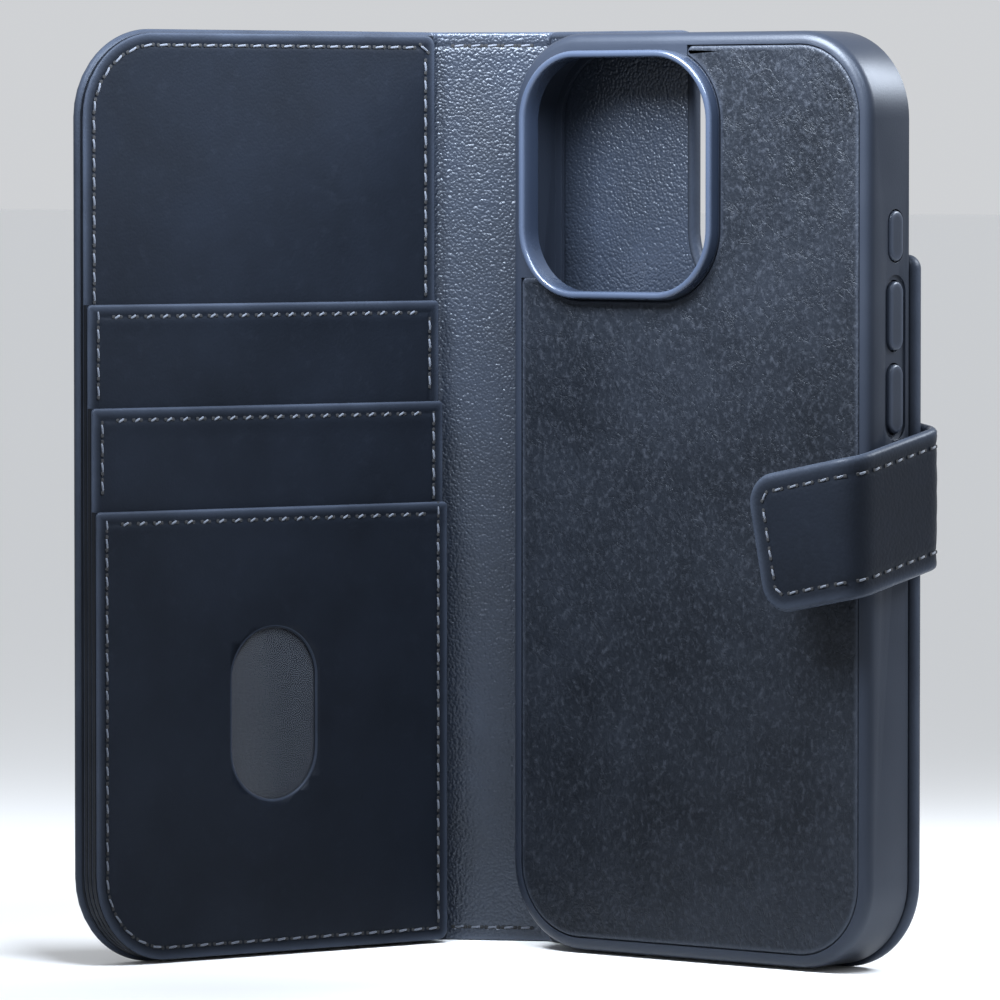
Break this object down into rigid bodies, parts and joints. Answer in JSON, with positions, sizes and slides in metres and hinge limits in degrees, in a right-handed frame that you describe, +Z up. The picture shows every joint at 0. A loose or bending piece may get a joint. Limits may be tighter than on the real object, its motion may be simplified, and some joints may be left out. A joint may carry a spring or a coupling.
{
  "type": "phone wallet case",
  "caption": "Leather folio wallet case for a phone, with card slots, a clear window, a detachable phone shell held by magnets, and a magnetic strap.",
  "frame": {"origin": "middle of the rear cover's bottom edge, on the face it stands on", "axes": "+Z up along the case's height; +X from the spine towards the rear cover's free edge; -Y out of the rear cover's inner face, towards the open front"},
  "size_m": [0.1273, 0.0912, 0.168],
  "materials": {
    "outer_leather": "smooth navy leather",
    "pocket_leather": "smooth navy leather",
    "lining": "soft navy lining",
    "board": "stiff board",
    "magnet": "plated",
    "steel": "plain sheet",
    "shell_plastic": "soft matte",
    "ring_plastic": "glossy",
    "inlay_leather": "waxed and creased",
    "clear_film": "clear"
  },
  "bodies": {
    "rear_cover": {"rear_outer_skin": "outer_leather", "rear_board": "board", "rear_magnets": "magnet", "rear_lining": "lining", "strap_anchor": "outer_leather"},
    "spine": {"spine_skin": "outer_leather", "spine_stiffener": "board", "spine_lining": "lining"},
    "front_cover": {"front_outer_skin": "outer_leather", "front_board": "board", "clasp_magnet": "magnet", "front_lining": "lining", "cash_pocket_seam": "pocket_leather", "pocket_base_panel": "pocket_leather", "slot_seam_1": "pocket_leather", "slot_panel_1": "pocket_leather", "slot_seam_2": "pocket_leather", "slot_panel_2": "pocket_leather", "slot_seam_3": "pocket_leather", "slot_panel_3": "pocket_leather", "window_film": "clear_film"},
    "strap_arm": {"strap_arm": "outer_leather", "strap_arm_lining": "lining"},
    "strap_tab": {"strap_tab": "outer_leather", "strap_tab_lining": "lining", "strap_magnet": "magnet"},
    "phone_shell": {"shell_frame": "shell_plastic", "shell_liner": "lining", "steel_plate": "steel", "leather_inlay": "inlay_leather", "camera_ring": "ring_plastic"},
    "action_button": {"action_button": "shell_plastic"},
    "volume_up_button": {"volume_up_button": "shell_plastic"},
    "volume_down_button": {"volume_down_button": "shell_plastic"},
    "power_button": {"power_button": "shell_plastic"}
  },
  "joints": [
    {"name": "spine_fold", "type": "hinge", "parent": "rear_cover", "child": "spine", "pos_m": [-0.0431, 0.0007, 0], "axis": [0, 0, 1], "range_deg": [-29, 61]},
    {"name": "front_fold", "type": "hinge", "parent": "spine", "child": "front_cover", "pos_m": [-0.06129, -0.00938, 0], "axis": [0, 0, 1], "range_deg": [-46.5, 43.5]},
    {"name": "strap_swing", "type": "hinge", "parent": "rear_cover", "child": "strap_arm", "pos_m": [0.0443, 0.00235, 0], "axis": [0, 0, 1], "range_deg": [0, 150]},
    {"name": "strap_tab_fold", "type": "hinge", "parent": "strap_arm", "child": "strap_tab", "pos_m": [0.0443, -0.02215, 0], "axis": [0, 0, 1], "range_deg": [0, 90]},
    {"name": "shell_slide", "type": "slide", "parent": "rear_cover", "child": "phone_shell", "axis": [0, 0, 1], "range_m": [0, 0.17]},
    {"name": "action_press", "type": "slide", "parent": "phone_shell", "child": "action_button", "axis": [-1, 0, 0], "range_m": [0, 0.0004], "stiffness_N_per_m": 400},
    {"name": "volume_up_press", "type": "slide", "parent": "phone_shell", "child": "volume_up_button", "axis": [-1, 0, 0], "range_m": [0, 0.0004], "stiffness_N_per_m": 400},
    {"name": "volume_down_press", "type": "slide", "parent": "phone_shell", "child": "volume_down_button", "axis": [-1, 0, 0], "range_m": [0, 0.0004], "stiffness_N_per_m": 400},
    {"name": "power_press", "type": "slide", "parent": "phone_shell", "child": "power_button", "axis": [1, 0, 0], "range_m": [0, 0.0004], "stiffness_N_per_m": 400}
  ]
}
